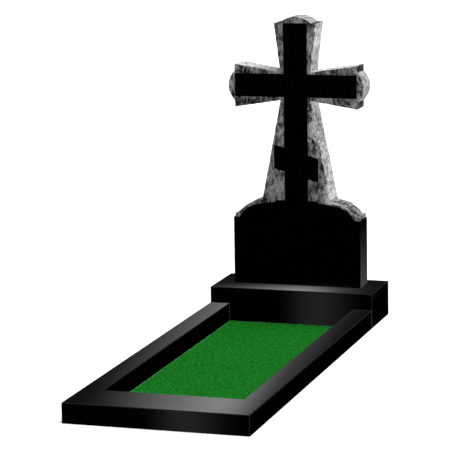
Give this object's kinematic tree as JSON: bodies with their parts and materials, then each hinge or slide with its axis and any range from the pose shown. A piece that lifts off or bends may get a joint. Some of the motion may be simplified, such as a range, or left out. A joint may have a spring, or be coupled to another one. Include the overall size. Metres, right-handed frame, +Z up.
{
  "type": "upright headstone",
  "caption": "Black polished headstone: an arched tablet carrying a flared cross with hewn ground, on a plinth with a low kerb around a turf bed; stands by its own weight.",
  "frame": {"origin": "on the ground, at the middle of the whole grave's length and width", "axes": "+Z up, +X to the right of a viewer who faces the carved side, -Y the way the carved side looks"},
  "size_m": [0.73, 2.08, 1.3283],
  "materials": {
    "carved_stone": "polished black face and sides, hewn grey ground and edges",
    "polished_stone": "polished",
    "turf": "short pile of grass"
  },
  "bodies": {
    "root": {"stele": "carved_stone", "plinth": "polished_stone", "kerb_front": "polished_stone", "kerb_left": "polished_stone", "kerb_right": "polished_stone", "turf": "turf"}
  },
  "joints": []
}
